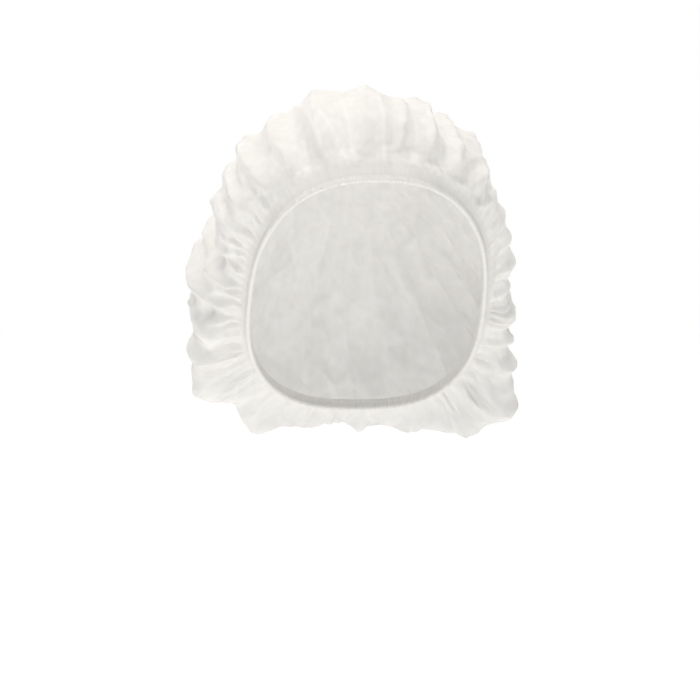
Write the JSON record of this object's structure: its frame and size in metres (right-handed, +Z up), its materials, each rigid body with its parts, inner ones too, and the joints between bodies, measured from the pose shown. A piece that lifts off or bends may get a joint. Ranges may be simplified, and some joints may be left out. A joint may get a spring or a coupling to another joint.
{
  "type": "bouffant cap",
  "caption": "Puffed disposable cap of thin white nonwoven cloth, gathered by an elastic hem that runs from the forehead to the nape, for covering the hair.",
  "frame": {"origin": "middle of the loop that the hem makes round the head, in the plane of the hem's lower edge", "axes": "+Z up with the head upright, -Y out through the face opening, +X to the right as seen from the front"},
  "size_m": [0.2106, 0.1988, 0.2216],
  "materials": {
    "crown_cloth": "matte, thin and see-through",
    "hem_cloth": "matte, two layers",
    "elastic": "matte"
  },
  "bodies": {
    "root": {"crown": "crown_cloth", "hem": "hem_cloth", "elastic": "elastic"}
  },
  "joints": []
}
